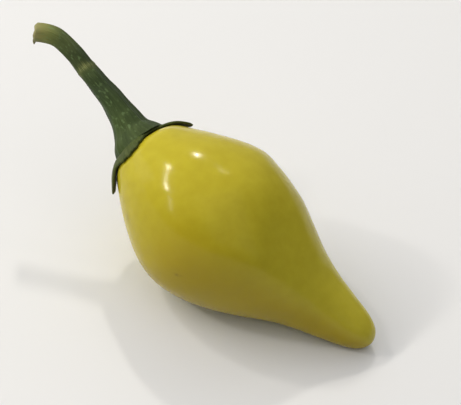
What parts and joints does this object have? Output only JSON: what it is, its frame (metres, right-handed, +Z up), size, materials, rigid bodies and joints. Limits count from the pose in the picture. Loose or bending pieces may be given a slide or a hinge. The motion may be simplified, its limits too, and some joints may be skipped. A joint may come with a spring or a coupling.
{
  "type": "chilli pepper",
  "caption": "Small yellow beaked chilli pepper, picked with its green stem and calyx, lying on its belly.",
  "frame": {"origin": "on the surface it lies on, below the middle of its box", "axes": "+Z up, +X from the stem towards the end of the beak"},
  "size_m": [0.046, 0.0176, 0.0208],
  "materials": {
    "fruit": "smooth glossy waxy skin",
    "calyx": "dull leafy green",
    "stem": "dull green stalk with faint ribs"
  },
  "bodies": {
    "root": {"fruit": "fruit", "calyx": "calyx", "stem": "stem"}
  },
  "joints": []
}
